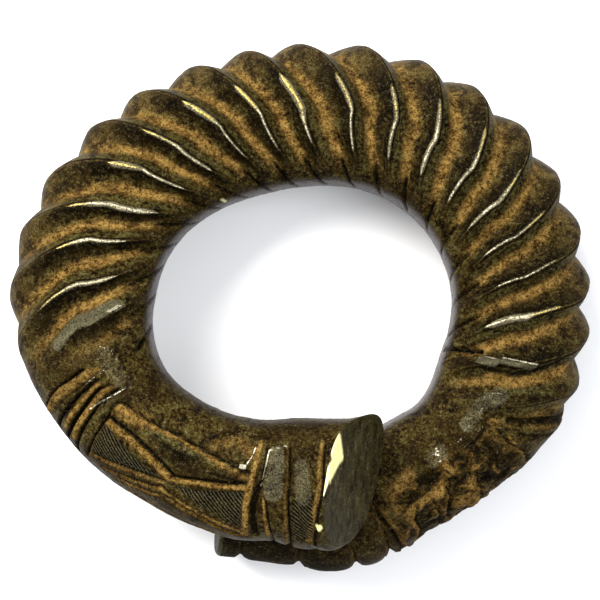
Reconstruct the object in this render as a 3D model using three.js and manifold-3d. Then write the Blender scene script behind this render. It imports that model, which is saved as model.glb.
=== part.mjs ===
// Ring money: one solid cast ring of brass, bent from a bar into an oval whose two ends overlap.
// The bar's middle is fluted, with sharp crests that wind round it. Its two ends are smooth on the
// hole's side and carved on top with a panel of lines and raised bands.
// Millimetres. +X runs along the ring's length, +Y away from the overlap and +Z up.
//
// A place on the bar is given by two angles. The station is the angle round the hole, in degrees:
// 0 on the right, 90 on the far side, 180 on the left and 270 at the overlap. The lower end lies
// at about -109 and the upper end at about 285. The section angle goes round the bar itself:
// 0 on the hole's wall, 90 on top, 180 outside and 270 underneath.
import * as THREE from "three";
import { mergeVertices } from "three/addons/utils/BufferGeometryUtils.js";
import Module from "manifold-3d";

// The oval that the middle of the bar follows
const OVAL_RADIUS = 47.0;
const OVAL_LONGER = 3.1; // how far the oval's ends stand out past a circle
const OVAL_SKEW = 0.5;
const OVAL_SQUARER = 0.55;
const OVAL_AHEAD = 0.54;
const OVAL_NEARER = 0.73;
const WIND_IN_PER_TURN = 6.85; // the upper end lies this much nearer the hole, a turn on
// Two places where the lower end swings out from the oval and in again
const LOWER_END_SWINGS = [
  { station: -78, spread: 13, outward: 1.3 },
  { station: -55, spread: 12, outward: -1.3 },
];

// The bar
const BODY_HALF_WIDTH = 16.05;
const BODY_HALF_HEIGHT = 12.8;
const WAIST = { station: -2, spread: 22, inward: 0.5 };
const UPPER_NECK = { from: 172, to: 212, thinner: 3.15 };
const UPPER_TIP = { from: 245, to: 270, thicker: 1.1 };
const LOWER_NECK = { from: -46, to: -18, thinner: 3.2 };
const LOWER_TIP = { from: -74, to: -56, thicker: 0.6 };
// Places where the outer side alone is drawn in, and the cut back hole's side of the upper end
const OUTER_HOLLOWS = [
  { station: -98, spread: 11, inward: 1.5 },
  { station: -70, spread: 10, inward: 0.6 },
  { station: 232, spread: 16, inward: 0.7 },
  { station: 264, spread: 7, inward: 1.5 },
  { station: 298, spread: 8, inward: 0.4 },
];
const UPPER_CUT_BACK = { from: 268, to: 305, inward: 2.4 };
const UPPER_FLATTER = { from: 180, to: 214 };
const LOWER_FLATTER = { from: -46, to: -14 };
const END_FLATTER = 0.9; // how much less the ends stand above their middle line
const INNER_WALL_FULLNESS = 0.62; // 1 is an ellipse, less is squarer
const OUTER_FULLNESS = 0.95;
const TOP_FULLNESS = 0.85;

// The ring lies flat from its lower end to the far side, and then climbs over that end
const CLIMB_START = 84;
const CLIMB_END = 264;
const CLIMB = 25.0;
const REST_FLAT = 0.35; // how much is worn off underneath, where the ring rests

// The flutes: the station where each crest passes the top of the bar
const CREST_STATIONS = [
  -40, -28.5, -17.2, -4.6, 5.6, 16.2, 26.2, 37.5, 50.2, 62.2, 75.2,
  90, 102.5, 115.4, 129.4, 141, 154, 164.5, 176.5, 188, 199,
];
const MEAN_PITCH = 12;
const CRESTS_ROUND_SECTION = 5; // crests that one turn round the bar crosses
const CREST_SWAY = 14;
const FLUTE_DEPTH = 3.3;
const CREST_ROUNDING = 0.11;
const FLUTES_FADE_IN = [-36, -20];
const FLUTES_FADE_OUT = [184, 198];
// On the outside the flutes are shallower near both ends
const OUTER_FLUTES = [110, 160];
const SHALLOW_UPPER = { from: 150, to: 178, share: 0.55 };
const SHALLOW_LOWER = { from: -26, to: -8, share: 0.5 };
// Degrees that the crests lie further on at the outside than their even winding: station, shift
const OUTER_SHIFTS = [
  [-24, 2], [-12, -1], [0, -2], [10, -1.5], [22, 0], [50, 0.7], [75, 1.8],
  [100, 1], [130, 0], [146, 0], [160, 2], [172, 3], [190, 3.2],
];
const SHIFT_BEGINS = [90, 150];
const SHIFT_ENDS = [220, 300];
const SMOOTH_WALL = [28, 70]; // section angles where the flutes run out on the hole's side
const ROUND_LOBES = [115, 165]; // section angles where the flutes turn to rounded lobes
const LOBE_SHARE = 0.65; // how far they turn to lobes

// Raised bands near the upper end: station at the top, width in degrees and height
const BAND_LEAN = 0.075; // degrees that a band leans for each degree of section angle
const BAND_LEAN_FROM = 80;
const UPPER_BANDS = [
  { station: 261.6, half: 4.0, height: 0.6 },
  { station: 270.3, half: 3.6, height: 0.7 },
];
const UPPER_GROOVES = [
  { station: 266.0, half: 0.9, depth: 1.0 },
  { station: 275.4, half: 1.1, depth: 1.1 },
];
const LOWER_BANDS = [
  { station: -68.0, half: 2.2, height: 0.5 },
  { station: -75.0, half: 2.4, height: 0.5 },
  { station: -84.5, half: 4.0, height: 0.5 },
  { station: -97.0, half: 4.6, height: 0.5 },
];
const LOWER_GROOVES = [
  { station: -71.2, half: 1.1, depth: 1.2 },
  { station: -79.0, half: 1.1, depth: 1.2 },
  { station: -90.5, half: 1.3, depth: 1.3 },
  { station: -103.5, half: 1.1, depth: 1.1 },
];
const BANDS_RISE = [62, 74]; // section angles where the bands begin
const BANDS_FADE = [215, 250]; // and where they run out underneath

// Chip-carved cuts: a path over the surface (station, section angle), the depth, and how far the
// steep and the gentle wall reach on the hole's side and the outer side of a path along the ring
const CHIP_CUTS = [
  { path: [[210.6, 86], [219.4, 82], [229, 78.5], [240.4, 81]], depth: 1.1, steep: 0.4, gentle: 1.4 },
  { path: [[240.4, 81], [252.6, 86.5]], depth: 1.1, steep: 0.4, gentle: 1.2 },
  { path: [[212, 97], [218.5, 95.5], [225.4, 97.5], [233.8, 105]], depth: 1.2, steep: 0.5, gentle: 1.8 },
  { path: [[234.6, 107], [240.8, 99.5], [253.2, 91.5]], depth: 1.1, steep: 0.5, gentle: 1.3 },
  { path: [[216, 144], [221.2, 133], [232.4, 117]], depth: 1.0, steep: 0.9, gentle: 0.5 },
  { path: [[220.5, 148], [232.4, 125.5]], depth: 0.9, steep: 0.9, gentle: 0.4 },
  { path: [[234.4, 125], [241.4, 130], [256.2, 141]], depth: 1.0, steep: 0.4, gentle: 1.0 },
  { path: [[237, 133], [245.4, 141], [257, 150]], depth: 0.9, steep: 0.4, gentle: 1.0 },
  { path: [[215.4, 152], [211.4, 93]], depth: 1.0, steep: 0.5, gentle: 0.8 },
  { path: [[212.4, 176], [210, 122], [206.6, 90]], depth: 1.3, steep: 0.8, gentle: 0.9 },
  { path: [[208.6, 176], [206, 126], [202.6, 92]], depth: 1.3, steep: 0.8, gentle: 1.0 },
  { path: [[204.6, 176], [201.8, 126], [198.6, 94]], depth: 1.2, steep: 0.8, gentle: 1.0 },
  { path: [[253.8, 64], [253.9, 90], [256.8, 156]], depth: 1.0, steep: 0.8, gentle: 0.4 },
  { path: [[256.4, 68], [257.4, 98], [263.6, 170]], depth: 1.1, steep: 0.5, gentle: 0.9 },
  { path: [[-22.8, 112], [-25.5, 176]], depth: 1.6, steep: 1.0, gentle: 1.2 },
  { path: [[-28.6, 104], [-29.5, 176]], depth: 1.7, steep: 1.0, gentle: 1.2 },
  { path: [[-34.2, 100], [-35.5, 170]], depth: 1.5, steep: 0.9, gentle: 1.1 },
  { path: [[-40.5, 108], [-42.5, 172]], depth: 1.2, steep: 0.8, gentle: 1.0 },
  { path: [[-47.5, 110], [-49.5, 174]], depth: 1.2, steep: 0.8, gentle: 1.0 },
];
const CUT_STATION_STEP = 6; // the longest straight piece of a cut, in degrees
const CUT_SECTION_STEP = 18;
const CUT_END_SHARE = 0.4; // how much of a cut's depth is left at its two ends
const CUT_LIFT = 2.5; // how far a cutting wedge stands out over the surface

// The two end faces, each a plane that faces along the bar
const UPPER_FACE = { point: [4.5, -39.1, 49.5], normal: [1, -0.157, 0.49], search: [262, 312] };
const LOWER_FACE = { point: [-19.2, -54, 12], normal: [-1, 0.12, 0.1], search: [-135, -95] };
const UPPER_RIM_ROUNDING = 0.5;
const LOWER_RIM_ROUNDING = 1.1;
const HALVINGS = 30; // steps in the search for where a line meets an end face

// Carving is looked for only past these stations
const UPPER_CARVING_FROM = 190;
const LOWER_CARVING_TO = -15;

// The mesh: rows of points for each stretch of the way along, closer where the relief is finer
const ROW_STRETCHES = [
  { upTo: 0.115, rows: 21 },
  { upTo: 0.185, rows: 8 },
  { upTo: 0.775, rows: 122 },
  { upTo: 0.905, rows: 13 },
  { upTo: 1, rows: 22 },
];
// and more columns on the carved top and outer side than underneath
const SECTION_COLUMNS = 20;
const COLUMN_CROWDING = 26;
const CROWDING_SHIFT = 1 / 6; // part of a turn

const BRASS_COLOUR = 0x4a3d22;
const BRASS_ROUGHNESS = 0.45;
const BRASS_METALNESS = 0.7;

const radians = THREE.MathUtils.degToRad;
const smooth = THREE.MathUtils.smoothstep;

// A soft hump of height 1 at centre, falling off on both sides
function hump(value, centre, width) {
  return Math.exp(-(((value - centre) / width) ** 2));
}

// A V-shaped groove or ridge: 1 on its line and 0 at half its width
function vee(distance, half) {
  return Math.max(0, 1 - Math.abs(distance) / half);
}

// Degrees away from the hole's wall, whichever way round the section
function fromInnerWall(section) {
  const turned = THREE.MathUtils.euclideanModulo(section + 180, 360) - 180;
  return Math.abs(turned);
}

function centreRadius(station) {
  const angle = radians(station);
  const oval =
    OVAL_RADIUS -
    (WIND_IN_PER_TURN * station) / 360 -
    OVAL_AHEAD * Math.cos(angle) -
    OVAL_NEARER * Math.sin(angle) +
    OVAL_LONGER * Math.cos(2 * angle) +
    OVAL_SKEW * Math.sin(2 * angle) -
    OVAL_SQUARER * Math.cos(3 * angle);
  const swing = (sum, bend) => sum + bend.outward * hump(station, bend.station, bend.spread);
  return LOWER_END_SWINGS.reduce(swing, oval);
}

function halfWidth(station) {
  return (
    BODY_HALF_WIDTH -
    WAIST.inward * hump(station, WAIST.station, WAIST.spread) -
    UPPER_NECK.thinner * smooth(station, UPPER_NECK.from, UPPER_NECK.to) +
    UPPER_TIP.thicker * smooth(station, UPPER_TIP.from, UPPER_TIP.to) -
    LOWER_NECK.thinner * (1 - smooth(station, LOWER_NECK.from, LOWER_NECK.to)) +
    LOWER_TIP.thicker * (1 - smooth(station, LOWER_TIP.from, LOWER_TIP.to))
  );
}

// How far the section's hole side or outer side lies from its middle
function reach(station, holeSide) {
  if (holeSide) {
    const cutBack = smooth(station, UPPER_CUT_BACK.from, UPPER_CUT_BACK.to);
    return halfWidth(station) - UPPER_CUT_BACK.inward * cutBack;
  }
  const hollow = (sum, place) => sum + place.inward * hump(station, place.station, place.spread);
  return halfWidth(station) - OUTER_HOLLOWS.reduce(hollow, 0);
}

function halfHeight(station) {
  const upper = smooth(station, UPPER_FLATTER.from, UPPER_FLATTER.to);
  const lower = 1 - smooth(station, LOWER_FLATTER.from, LOWER_FLATTER.to);
  return BODY_HALF_HEIGHT - END_FLATTER * (upper + lower);
}

function centreHeight(station) {
  const climb = CLIMB * smooth(station, CLIMB_START, CLIMB_END);
  return halfHeight(station) - REST_FLAT + climb;
}

// How many crests lie between the first one and a station, along the top of the bar
function crestCount(station) {
  const last = CREST_STATIONS.length - 1;
  if (station <= CREST_STATIONS[0]) return (station - CREST_STATIONS[0]) / MEAN_PITCH;
  if (station >= CREST_STATIONS[last]) return last + (station - CREST_STATIONS[last]) / MEAN_PITCH;
  const next = CREST_STATIONS.findIndex((crest) => crest > station);
  const before = CREST_STATIONS[next - 1];
  return next - 1 + (station - before) / (CREST_STATIONS[next] - before);
}

// Crests that a winding crest falls behind by, from the hole's wall round to a section angle
function winding(section) {
  return (CRESTS_ROUND_SECTION / 360) * (section + CREST_SWAY * Math.sin(radians(section)));
}

// How far on the crests lie at the outside, in degrees
function outerShift(station, section) {
  const last = OUTER_SHIFTS.length - 1;
  const clamped = THREE.MathUtils.clamp(station, OUTER_SHIFTS[0][0], OUTER_SHIFTS[last][0]);
  const next = Math.max(1, OUTER_SHIFTS.findIndex(([place]) => place >= clamped));
  const [before, beforeShift] = OUTER_SHIFTS[next - 1];
  const [after, afterShift] = OUTER_SHIFTS[next];
  const shift = THREE.MathUtils.mapLinear(clamped, before, after, beforeShift, afterShift);
  return shift * smooth(section, ...SHIFT_BEGINS) * (1 - smooth(section, ...SHIFT_ENDS));
}

function fluteDepth(station, section) {
  const wall = fromInnerWall(section);
  const shifted = station - outerShift(station, section);
  const phase = Math.PI * (crestCount(shifted) - winding(section) + winding(90));
  const channel = Math.sqrt(Math.sin(phase) ** 2 + CREST_ROUNDING ** 2) - CREST_ROUNDING;
  const lobe = 1 - Math.abs(Math.cos(phase));
  const rounded = LOBE_SHARE * smooth(wall, ...ROUND_LOBES);
  const along =
    smooth(station, ...FLUTES_FADE_IN) * (1 - smooth(station, ...FLUTES_FADE_OUT));
  const shallower =
    SHALLOW_UPPER.share * smooth(station, SHALLOW_UPPER.from, SHALLOW_UPPER.to) +
    SHALLOW_LOWER.share * (1 - smooth(station, SHALLOW_LOWER.from, SHALLOW_LOWER.to));
  const round = smooth(wall, ...SMOOTH_WALL) * (1 - shallower * smooth(section, ...OUTER_FLUTES));
  return FLUTE_DEPTH * along * round * ((1 - rounded) * channel + rounded * lobe);
}

// Raised bands and the grooves between them, across the bar
function bandHeight(station, section, bands, grooves, lean) {
  const around = smooth(section, ...BANDS_RISE) * (1 - smooth(section, ...BANDS_FADE));
  if (around === 0) return 0;
  const straight = station - lean * Math.max(0, Math.min(section, 180) - BAND_LEAN_FROM);
  let height = 0;
  for (const band of bands) {
    height += band.height * Math.sqrt(Math.max(0, 1 - ((straight - band.station) / band.half) ** 2));
  }
  for (const groove of grooves) {
    height -= groove.depth * vee(straight - groove.station, groove.half);
  }
  return height * around;
}

// How far the carved surface stands proud of the plain bar
function relief(station, section) {
  let height = -fluteDepth(station, section);
  if (station > UPPER_CARVING_FROM) {
    height += bandHeight(station, section, UPPER_BANDS, UPPER_GROOVES, BAND_LEAN);
  }
  if (station < LOWER_CARVING_TO) {
    height += bandHeight(station, section, LOWER_BANDS, LOWER_GROOVES, 0);
  }
  return height;
}

// A point at a distance from the hole's middle, a station and a height
function pointAt(radius, station, height) {
  const angle = radians(station);
  return new THREE.Vector3(radius * Math.cos(angle), radius * Math.sin(angle), height);
}

// A point on the ring's surface. shrink draws the section in towards its middle.
function surfacePoint(station, section, shrink) {
  const cosine = Math.cos(radians(section));
  const sine = Math.sin(radians(section));
  const sideFullness = cosine > 0 ? INNER_WALL_FULLNESS : OUTER_FULLNESS;
  const side = reach(station, cosine > 0);
  const outward = -side * Math.sign(cosine) * Math.abs(cosine) ** sideFullness;
  const upward = halfHeight(station) * Math.sign(sine) * Math.abs(sine) ** TOP_FULLNESS;
  const scale = 1 + (relief(station, section) - shrink) / Math.hypot(outward, upward);
  return pointAt(
    centreRadius(station) + outward * scale,
    station,
    centreHeight(station) + upward * scale,
  );
}

// The station where a lengthwise line of the surface meets an end face
function stationAtFace(face, section, shrink, back) {
  const normal = new THREE.Vector3(...face.normal).normalize();
  const point = new THREE.Vector3(...face.point).addScaledVector(normal, -back);
  const past = (station) => surfacePoint(station, section, shrink).sub(point).dot(normal) > 0;
  let [low, high] = face.search;
  const highIsPast = past(high);
  for (let step = 0; step < HALVINGS; step += 1) {
    const middle = (low + high) / 2;
    if (past(middle) === highIsPast) high = middle;
    else low = middle;
  }
  return (low + high) / 2;
}

// Section angle of a column, crowded towards the carved top and outer side
function columnAngle(column) {
  const turn = column / SECTION_COLUMNS;
  const wave = (turns) => Math.sin(2 * Math.PI * turns);
  const crowd = wave(turn + CROWDING_SHIFT) - wave(CROWDING_SHIFT);
  return 360 * turn + COLUMN_CROWDING * crowd;
}

// How far along the bar each row of points lies, from 0 at the lower end to 1 at the upper
function rowShares() {
  const shares = [0];
  for (const stretch of ROW_STRETCHES) {
    const from = shares[shares.length - 1];
    for (let row = 1; row <= stretch.rows; row += 1) {
      shares.push(THREE.MathUtils.lerp(from, stretch.upTo, row / stretch.rows));
    }
  }
  return shares;
}

// The closed surface: rows of points from the lower face to the upper one, and a rim and a
// middle point on each face
function ringSurface() {
  const positions = [];
  const indices = [];
  const angles = Array.from({ length: SECTION_COLUMNS }, (_, column) => columnAngle(column));
  const starts = angles.map((angle) => stationAtFace(LOWER_FACE, angle, 0, LOWER_RIM_ROUNDING));
  const ends = angles.map((angle) => stationAtFace(UPPER_FACE, angle, 0, UPPER_RIM_ROUNDING));
  const shares = rowShares();
  const addRim = (face, rounding) => {
    const rim = angles.map((angle) =>
      surfacePoint(stationAtFace(face, angle, rounding, 0), angle, rounding),
    );
    for (const point of rim) positions.push(...point.toArray());
    return rim;
  };

  const lowerRim = addRim(LOWER_FACE, LOWER_RIM_ROUNDING);
  for (const share of shares) {
    for (let column = 0; column < SECTION_COLUMNS; column += 1) {
      const station = THREE.MathUtils.lerp(starts[column], ends[column], share);
      positions.push(...surfacePoint(station, angles[column], 0).toArray());
    }
  }
  const upperRim = addRim(UPPER_FACE, UPPER_RIM_ROUNDING);

  const rings = shares.length + 2;
  for (let ring = 0; ring < rings - 1; ring += 1) {
    for (let column = 0; column < SECTION_COLUMNS; column += 1) {
      const next = (column + 1) % SECTION_COLUMNS;
      const near = ring * SECTION_COLUMNS + column;
      const nearNext = ring * SECTION_COLUMNS + next;
      const far = near + SECTION_COLUMNS;
      const farNext = nearNext + SECTION_COLUMNS;
      indices.push(near, farNext, far, near, nearNext, farNext);
    }
  }

  const addFace = (rim, firstIndex, forward) => {
    const middle = new THREE.Vector3();
    for (const point of rim) middle.addScaledVector(point, 1 / rim.length);
    positions.push(...middle.toArray());
    const middleIndex = positions.length / 3 - 1;
    for (let column = 0; column < SECTION_COLUMNS; column += 1) {
      const here = firstIndex + column;
      const next = firstIndex + ((column + 1) % SECTION_COLUMNS);
      if (forward) indices.push(middleIndex, here, next);
      else indices.push(middleIndex, next, here);
    }
  };
  addFace(lowerRim, 0, false);
  addFace(upperRim, (rings - 1) * SECTION_COLUMNS, true);

  const geometry = new THREE.BufferGeometry();
  geometry.setAttribute("position", new THREE.Float32BufferAttribute(positions, 3));
  geometry.setIndex(indices);
  return geometry;
}

// Places along a cut's path, close enough for straight pieces to follow the round bar
function placesAlong(path) {
  const places = [path[0]];
  for (let index = 1; index < path.length; index += 1) {
    const [fromStation, fromSection] = path[index - 1];
    const [toStation, toSection] = path[index];
    const alongSteps = Math.abs(toStation - fromStation) / CUT_STATION_STEP;
    const roundSteps = Math.abs(toSection - fromSection) / CUT_SECTION_STEP;
    const steps = Math.ceil(Math.max(alongSteps, roundSteps));
    for (let step = 1; step <= steps; step += 1) {
      places.push([
        THREE.MathUtils.lerp(fromStation, toStation, step / steps),
        THREE.MathUtils.lerp(fromSection, toSection, step / steps),
      ]);
    }
  }
  return places;
}

// The solid that a cut takes out: a wedge with its edge below the surface, shallower at both ends
function wedge(cut) {
  const places = placesAlong(cut.path);
  const points = places.map(([station, section]) => surfacePoint(station, section, 0));
  const last = points.length - 1;
  const positions = [];
  points.forEach((point, index) => {
    const [station] = places[index];
    const middle = pointAt(centreRadius(station), station, centreHeight(station));
    const outward = point.clone().sub(middle).normalize();
    const along = points[Math.min(index + 1, last)].clone().sub(points[Math.max(index - 1, 0)]);
    const across = new THREE.Vector3().crossVectors(outward, along).normalize();
    const depth = cut.depth * (index === 0 || index === last ? CUT_END_SHARE : 1);
    const widening = (depth + CUT_LIFT) / cut.depth;
    const top = point.clone().addScaledVector(outward, CUT_LIFT);
    const edge = point.clone().addScaledVector(outward, -depth);
    positions.push(...edge.toArray());
    positions.push(...top.clone().addScaledVector(across, cut.steep * widening).toArray());
    positions.push(...top.clone().addScaledVector(across, -cut.gentle * widening).toArray());
  });
  const indices = [0, 2, 1, last * 3, last * 3 + 1, last * 3 + 2];
  for (let index = 0; index < last; index += 1) {
    for (let corner = 0; corner < 3; corner += 1) {
      const here = index * 3 + corner;
      const next = index * 3 + ((corner + 1) % 3);
      indices.push(here, next, next + 3, here, next + 3, here + 3);
    }
  }
  const geometry = new THREE.BufferGeometry();
  geometry.setAttribute("position", new THREE.Float32BufferAttribute(positions, 3));
  geometry.setIndex(indices);
  return geometry;
}

function toSolid(wasm, geometry) {
  const bare = geometry.clone();
  bare.deleteAttribute("normal");
  bare.deleteAttribute("uv");
  const merged = mergeVertices(bare);
  return new wasm.Manifold(
    new wasm.Mesh({
      numProp: 3,
      vertProperties: new Float32Array(merged.attributes.position.array),
      triVerts: new Uint32Array(merged.index.array),
    }),
  );
}

function toGeometry(solid) {
  const mesh = solid.getMesh();
  const geometry = new THREE.BufferGeometry();
  geometry.setAttribute("position", new THREE.Float32BufferAttribute(mesh.vertProperties, 3));
  geometry.setIndex(Array.from(mesh.triVerts));
  return geometry;
}

const wasm = await Module();
wasm.setup();

// The ring's underside is worn flat where it rests
const floorSize = 400;
const floorBlock = new THREE.BoxGeometry(floorSize, floorSize, floorSize);
floorBlock.translate(0, 0, -floorSize / 2);
const worn = toSolid(wasm, ringSurface()).subtract(toSolid(wasm, floorBlock));
const cut = (solid, chip) => solid.subtract(toSolid(wasm, wedge(chip)));
const ringGeometry = toGeometry(CHIP_CUTS.reduce(cut, worn));

// The origin is under the middle of the ring, on the surface it rests on
ringGeometry.computeBoundingBox();
const middle = ringGeometry.boundingBox.getCenter(new THREE.Vector3());
ringGeometry.translate(-middle.x, -middle.y, -ringGeometry.boundingBox.min.z);
ringGeometry.computeVertexNormals();

const brass = new THREE.MeshStandardMaterial({
  color: BRASS_COLOUR,
  roughness: BRASS_ROUGHNESS,
  metalness: BRASS_METALNESS,
});
const ring = new THREE.Mesh(ringGeometry, brass);
ring.name = "ring";

const ringMoney = new THREE.Group();
ringMoney.name = "ring_money";
ringMoney.add(ring);

export default ringMoney;
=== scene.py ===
# Ring money: one heavy cast brass ring lying on a pale surface, seen from nearly straight above.
# The whole surface is one grid of points worked out by formulas. A place on the bar is given by
# two angles, both in degrees. The station goes round the hole: 0 on the right, 90 on the far side,
# 180 on the left and 270 at the overlap, from the lower end at about -109 to the upper end at
# about 290. The section angle goes round the bar: 0 on the hole's wall, 90 on top, 180 outside
# and 270 underneath. Lengths in the formulas are millimetres, and Blender's are metres.
import math
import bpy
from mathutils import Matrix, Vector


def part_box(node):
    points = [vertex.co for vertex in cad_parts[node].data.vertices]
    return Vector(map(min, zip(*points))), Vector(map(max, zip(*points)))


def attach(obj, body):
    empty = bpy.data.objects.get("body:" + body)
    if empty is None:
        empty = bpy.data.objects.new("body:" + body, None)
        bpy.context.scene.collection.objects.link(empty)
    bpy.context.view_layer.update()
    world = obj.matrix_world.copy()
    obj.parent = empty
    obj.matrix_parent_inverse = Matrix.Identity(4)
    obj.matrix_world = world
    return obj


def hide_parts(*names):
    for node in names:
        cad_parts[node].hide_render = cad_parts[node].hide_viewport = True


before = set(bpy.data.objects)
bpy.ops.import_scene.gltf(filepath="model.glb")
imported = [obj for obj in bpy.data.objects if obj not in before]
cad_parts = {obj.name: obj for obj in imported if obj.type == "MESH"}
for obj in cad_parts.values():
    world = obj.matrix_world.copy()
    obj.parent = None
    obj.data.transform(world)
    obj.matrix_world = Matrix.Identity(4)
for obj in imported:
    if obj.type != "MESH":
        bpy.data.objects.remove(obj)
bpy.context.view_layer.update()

from types import SimpleNamespace

import bpy
import numpy as np
from mathutils import Vector

MM = 0.001
scene = bpy.context.scene

# The oval that the middle of the bar follows
OVAL_RADIUS = 47.0
OVAL_LONGER = 3.1
OVAL_SKEW = 0.5
OVAL_SQUARER = 0.55
OVAL_AHEAD = 0.54
OVAL_NEARER = 0.73
WIND_IN_PER_TURN = 6.85
LOWER_END_SWINGS = [(-78, 13, 1.3), (-55, 12, -1.3)]  # station, spread, outward
# How much narrower or wider the bar's outer side is than its middle part, as humps
OUTER_TRIMS = [(-98, 11, -1.5), (-70, 10, -0.6), (232, 16, -0.7), (264, 7, -1.5), (298, 8, -0.4)]
# The hole's side of the upper end is cut back towards its face
INNER_TRIM = 2.4
INNER_TRIM_START = 268
INNER_TRIM_END = 305

# The bar
BODY_HALF_WIDTH = 16.05
BODY_HALF_HEIGHT = 12.8
INNER_WALL_FULLNESS = 0.62
OUTER_FULLNESS = 0.95
TOP_FULLNESS = 0.85
# Changes of the half width, (change, from station, to station), and its waist
UPPER_WIDTH_CHANGES = [(-3.15, 172, 212), (1.1, 245, 270)]
LOWER_WIDTH_CHANGES = [(-3.2, -46, -18), (0.6, -74, -56)]
WAIST = (-2, 22, 0.5)  # station, spread, inward
END_FLATTER = 0.9
UPPER_END_FLATTENS = (180, 214)
LOWER_END_FLATTENS = (-46, -14)

# The climb over the lower end
CLIMB_START = 84
CLIMB_END = 264
CLIMB = 25.0
REST_FLAT = 0.35

# The flutes: the station where each crest passes the top of the bar
CREST_STATIONS = np.array([
    -40, -28.5, -17.2, -4.6, 5.6, 16.2, 26.2, 37.5, 50.2, 62.2, 75.2,
    90, 102.5, 115.4, 129.4, 141, 154, 164.5, 176.5, 188, 199,
])
MEAN_PITCH = 12
CRESTS_ROUND_SECTION = 5
CREST_SWAY = 14
FLUTE_DEPTH = 3.3
# Degrees that the crests lie further on at the outside than their even winding, by station
OUTER_SHIFTS = np.array([
    (-24, 2), (-12, -1), (0, -2), (10, -1.5), (22, 0), (50, 0.7), (75, 1.8),
    (100, 1), (130, 0), (146, 0), (160, 2), (172, 3), (190, 3.2),
])
CREST_ROUNDING = 0.11
LOBE_SHARE = 0.65
# Where the flutes lie, in degrees: start, full, fading, gone
FLUTED_STATIONS = (-36, -20, 184, 198)
OUTER_SECTIONS = (90, 150, 220, 300)
WALL_TO_FLUTES = (28, 70)  # away from the hole's wall
# Outside, the flutes are shallower towards both ends: by how much, from station, to station
UPPER_SHALLOWER = (0.55, 150, 178)
LOWER_SHALLOWER = (0.5, -26, -8)

# The two end faces: a point, the way the face looks, and the stations to search for it
UPPER_FACE = ((4.5, -39.1, 49.5), (1, -0.157, 0.49), (262, 312))
LOWER_FACE = ((-19.2, -54, 12), (-1, 0.12, 0.1), (-135, -95))
UPPER_RIM_ROUNDING = 0.35
LOWER_RIM_ROUNDING = 1.1
RIM_ROWS = 5
UPPER_FACE_ROWS = 24
LOWER_FACE_ROWS = 8
FACE_ROW_CROWDING = 1.5
HALVINGS = 30  # of the search for each station
FACE_WAVES = 7
FACE_WAVE_HEIGHT = 0.10

# The grid: rows of points along the bar, closer together where it is carved, and columns round
# it, closest on the outer side of the top
ROW_STEPS = [(0.0, 168), (0.222, 298), (0.772, 266)]  # share of the way, rows from there on
SECTION_COLUMNS = 128
COLUMN_CROWDING = 35
CROWDING_SHIFT = 1 / 8


def smooth(value, start, end):
    """An S-shaped step: 3 s squared less 2 s cubed, where s is how far value is from start to end."""
    share = np.clip((value - start) / (end - start), 0, 1)
    return share * share * (3 - 2 * share)


def between(value, start, full, fading, gone):
    """1 from full to fading and 0 outside start and gone, with S-shaped steps."""
    return smooth(value, start, full) * (1 - smooth(value, fading, gone))


def hump(value, centre, spread):
    """A soft hump: e to the power of minus the square of the distance over the spread."""
    return np.exp(-(((value - centre) / spread) ** 2))


def vee(distance, half):
    """A V: 1 on its line, falling evenly to 0 at half its width."""
    return np.clip(1 - np.abs(distance) / half, 0, 1)


def centre_radius(station):
    """Distance of the bar's middle line from the hole's middle: a circle that winds in, made an
    oval by waves of one, two and three to the turn, with two swings at the lower end."""
    angle = np.radians(station)
    radius = OVAL_RADIUS - WIND_IN_PER_TURN * station / 360
    radius = radius - OVAL_AHEAD * np.cos(angle) - OVAL_NEARER * np.sin(angle)
    radius = radius + OVAL_LONGER * np.cos(2 * angle) + OVAL_SKEW * np.sin(2 * angle)
    radius = radius - OVAL_SQUARER * np.cos(3 * angle)
    for centre, spread, outward in LOWER_END_SWINGS:
        radius = radius + outward * hump(station, centre, spread)
    return radius


def half_width(station):
    """Half the bar's width from hole to outside: wide in the fluted middle, less at both ends."""
    upper = sum(change * smooth(station, start, end) for change, start, end in UPPER_WIDTH_CHANGES)
    lower = sum(change * (1 - smooth(station, start, end)) for change, start, end in LOWER_WIDTH_CHANGES)
    centre, spread, inward = WAIST
    return BODY_HALF_WIDTH - inward * hump(station, centre, spread) + upper + lower


def outer_trim(station):
    """How far the outer side stands out past the half width."""
    return sum(outward * hump(station, centre, spread) for centre, spread, outward in OUTER_TRIMS)


def inner_trim(station):
    """How far the hole's side is cut back at the upper end."""
    return -INNER_TRIM * smooth(station, INNER_TRIM_START, INNER_TRIM_END)


def half_height(station):
    """Half the bar's height, a little less at both ends."""
    ends = smooth(station, *UPPER_END_FLATTENS) + 1 - smooth(station, *LOWER_END_FLATTENS)
    return BODY_HALF_HEIGHT - END_FLATTER * ends


def centre_height(station):
    """Height of the bar's middle line: resting, and then climbing over the lower end in an S."""
    return half_height(station) - REST_FLAT + CLIMB * smooth(station, CLIMB_START, CLIMB_END)


def from_inner_wall(section):
    """Degrees away from the hole's wall, whichever way round the section."""
    return np.abs((section + 180) % 360 - 180)


def crest_count(station):
    """How many crests lie between the first one and a station, along the top of the bar."""
    last = len(CREST_STATIONS) - 1
    count = np.interp(station, CREST_STATIONS, np.arange(last + 1))
    before = np.minimum(station - CREST_STATIONS[0], 0) / MEAN_PITCH
    after = np.maximum(station - CREST_STATIONS[last], 0) / MEAN_PITCH
    return count + before + after


def winding(section):
    """Crests that a winding crest falls behind by, round to a section angle: in proportion to the
    angle, with a sine added so that it is quicker on the hole's side."""
    return CRESTS_ROUND_SECTION / 360 * (section + CREST_SWAY * np.sin(np.radians(section)))


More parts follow.
